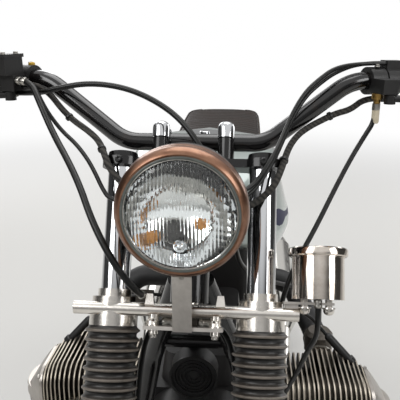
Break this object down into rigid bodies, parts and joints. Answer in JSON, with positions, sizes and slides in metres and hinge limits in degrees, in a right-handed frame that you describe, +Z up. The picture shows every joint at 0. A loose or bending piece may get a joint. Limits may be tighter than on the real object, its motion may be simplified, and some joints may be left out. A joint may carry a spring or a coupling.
{
  "type": "custom flat-twin roadster motorcycle",
  "caption": "Custom flat-twin motorcycle on its centre stand, with a high bar, round headlight, finned cylinders, spoked wheels, steering and freely turning wheels.",
  "frame": {"origin": "on the floor, halfway between the outer ends of the two tyres and on the centre plane", "axes": "+X to the rider's left, -Y forward, +Z up"},
  "size_m": [0.8898, 2.1209, 1.0881],
  "materials": {
    "frame_black": "gloss",
    "brass": "satin",
    "cable_rubber": "satin",
    "engine_black": "satin",
    "engine_alloy": "cast",
    "cast_alloy": "bead blasted",
    "black_plastic": "matte",
    "exhaust_steel": "polished",
    "tank_paint": "gloss",
    "chrome": "polished",
    "seat_leather": "satin",
    "steel": "satin",
    "gaiter_rubber": "matte",
    "bar_black": "gloss",
    "copper": "metallic",
    "lens_glass": "clear",
    "lamp_mirror": "mirror",
    "red_lens": "gloss",
    "tyre_rubber": "matte",
    "wheel_alloy": "polished"
  },
  "bodies": {
    "frame": {"backbone": "frame_black", "cradle": "frame_black", "seat_rails": "frame_black", "crankcase": "engine_black", "sump": "engine_alloy", "gearbox": "engine_alloy", "barrels": "engine_alloy", "cylinder_heads": "engine_alloy", "rocker_covers": "engine_alloy", "carburettors": "engine_alloy", "intake_tubes": "black_plastic", "airbox": "engine_black", "exhausts": "exhaust_steel", "fuel_tank": "tank_paint", "filler_cap": "chrome", "seat": "seat_leather", "battery": "black_plastic", "swinging_arm": "frame_black", "rear_axle": "steel", "shocks": "steel", "rear_mudguard": "frame_black", "tail_lamp": "red_lens", "foot_pegs": "frame_black", "horn": "black_plastic", "throttle_cable": "cable_rubber", "clutch_cable": "cable_rubber", "gauge_cable": "cable_rubber"},
    "steering": {"fork_tubes": "chrome", "fork_sliders": "cast_alloy", "fork_gaiters": "gaiter_rubber", "lower_bridge": "cast_alloy", "upper_bridge": "frame_black", "handlebar": "bar_black", "risers": "frame_black", "riser_caps": "chrome", "grips": "gaiter_rubber", "lever_perches": "frame_black", "levers": "frame_black", "bar_housings": "frame_black", "brake_reservoir": "frame_black", "brass_fittings": "brass", "brake_hoses": "cable_rubber", "bar_wiring": "cable_rubber", "brake_calipers": "engine_alloy", "headlight_shell": "frame_black", "headlight_ring": "copper", "headlight_glass": "lens_glass", "headlight_reflector": "lamp_mirror", "headlight_bracket": "steel", "gauge": "chrome", "gauge_bracket": "steel", "front_mudguard": "frame_black", "front_axle": "steel"},
    "front_wheel": {"front_tyre": "tyre_rubber", "front_wheel": "wheel_alloy", "front_brake_discs": "steel"},
    "rear_wheel": {"rear_tyre": "tyre_rubber", "rear_wheel": "wheel_alloy"},
    "centre_stand": {"centre_stand": "frame_black"}
  },
  "joints": [
    {"name": "steering", "type": "hinge", "parent": "frame", "child": "steering", "pos_m": [0, -0.39036, 0.83088], "axis": [0, 0.4617, 0.887], "range_deg": [-38, 38], "deforming": ["throttle_cable", "clutch_cable", "gauge_cable"]},
    {"name": "front_wheel_spin", "type": "hinge", "parent": "steering", "child": "front_wheel", "pos_m": [0, -0.7295, 0.331], "axis": [1, 0, 0], "continuous": true},
    {"name": "rear_wheel_spin", "type": "hinge", "parent": "frame", "child": "rear_wheel", "pos_m": [0, 0.7355, 0.345], "axis": [1, 0, 0], "continuous": true},
    {"name": "centre_stand_fold", "type": "hinge", "parent": "frame", "child": "centre_stand", "pos_m": [0, 0.15, 0.185], "axis": [1, 0, 0], "range_deg": [0, 80]}
  ]
}
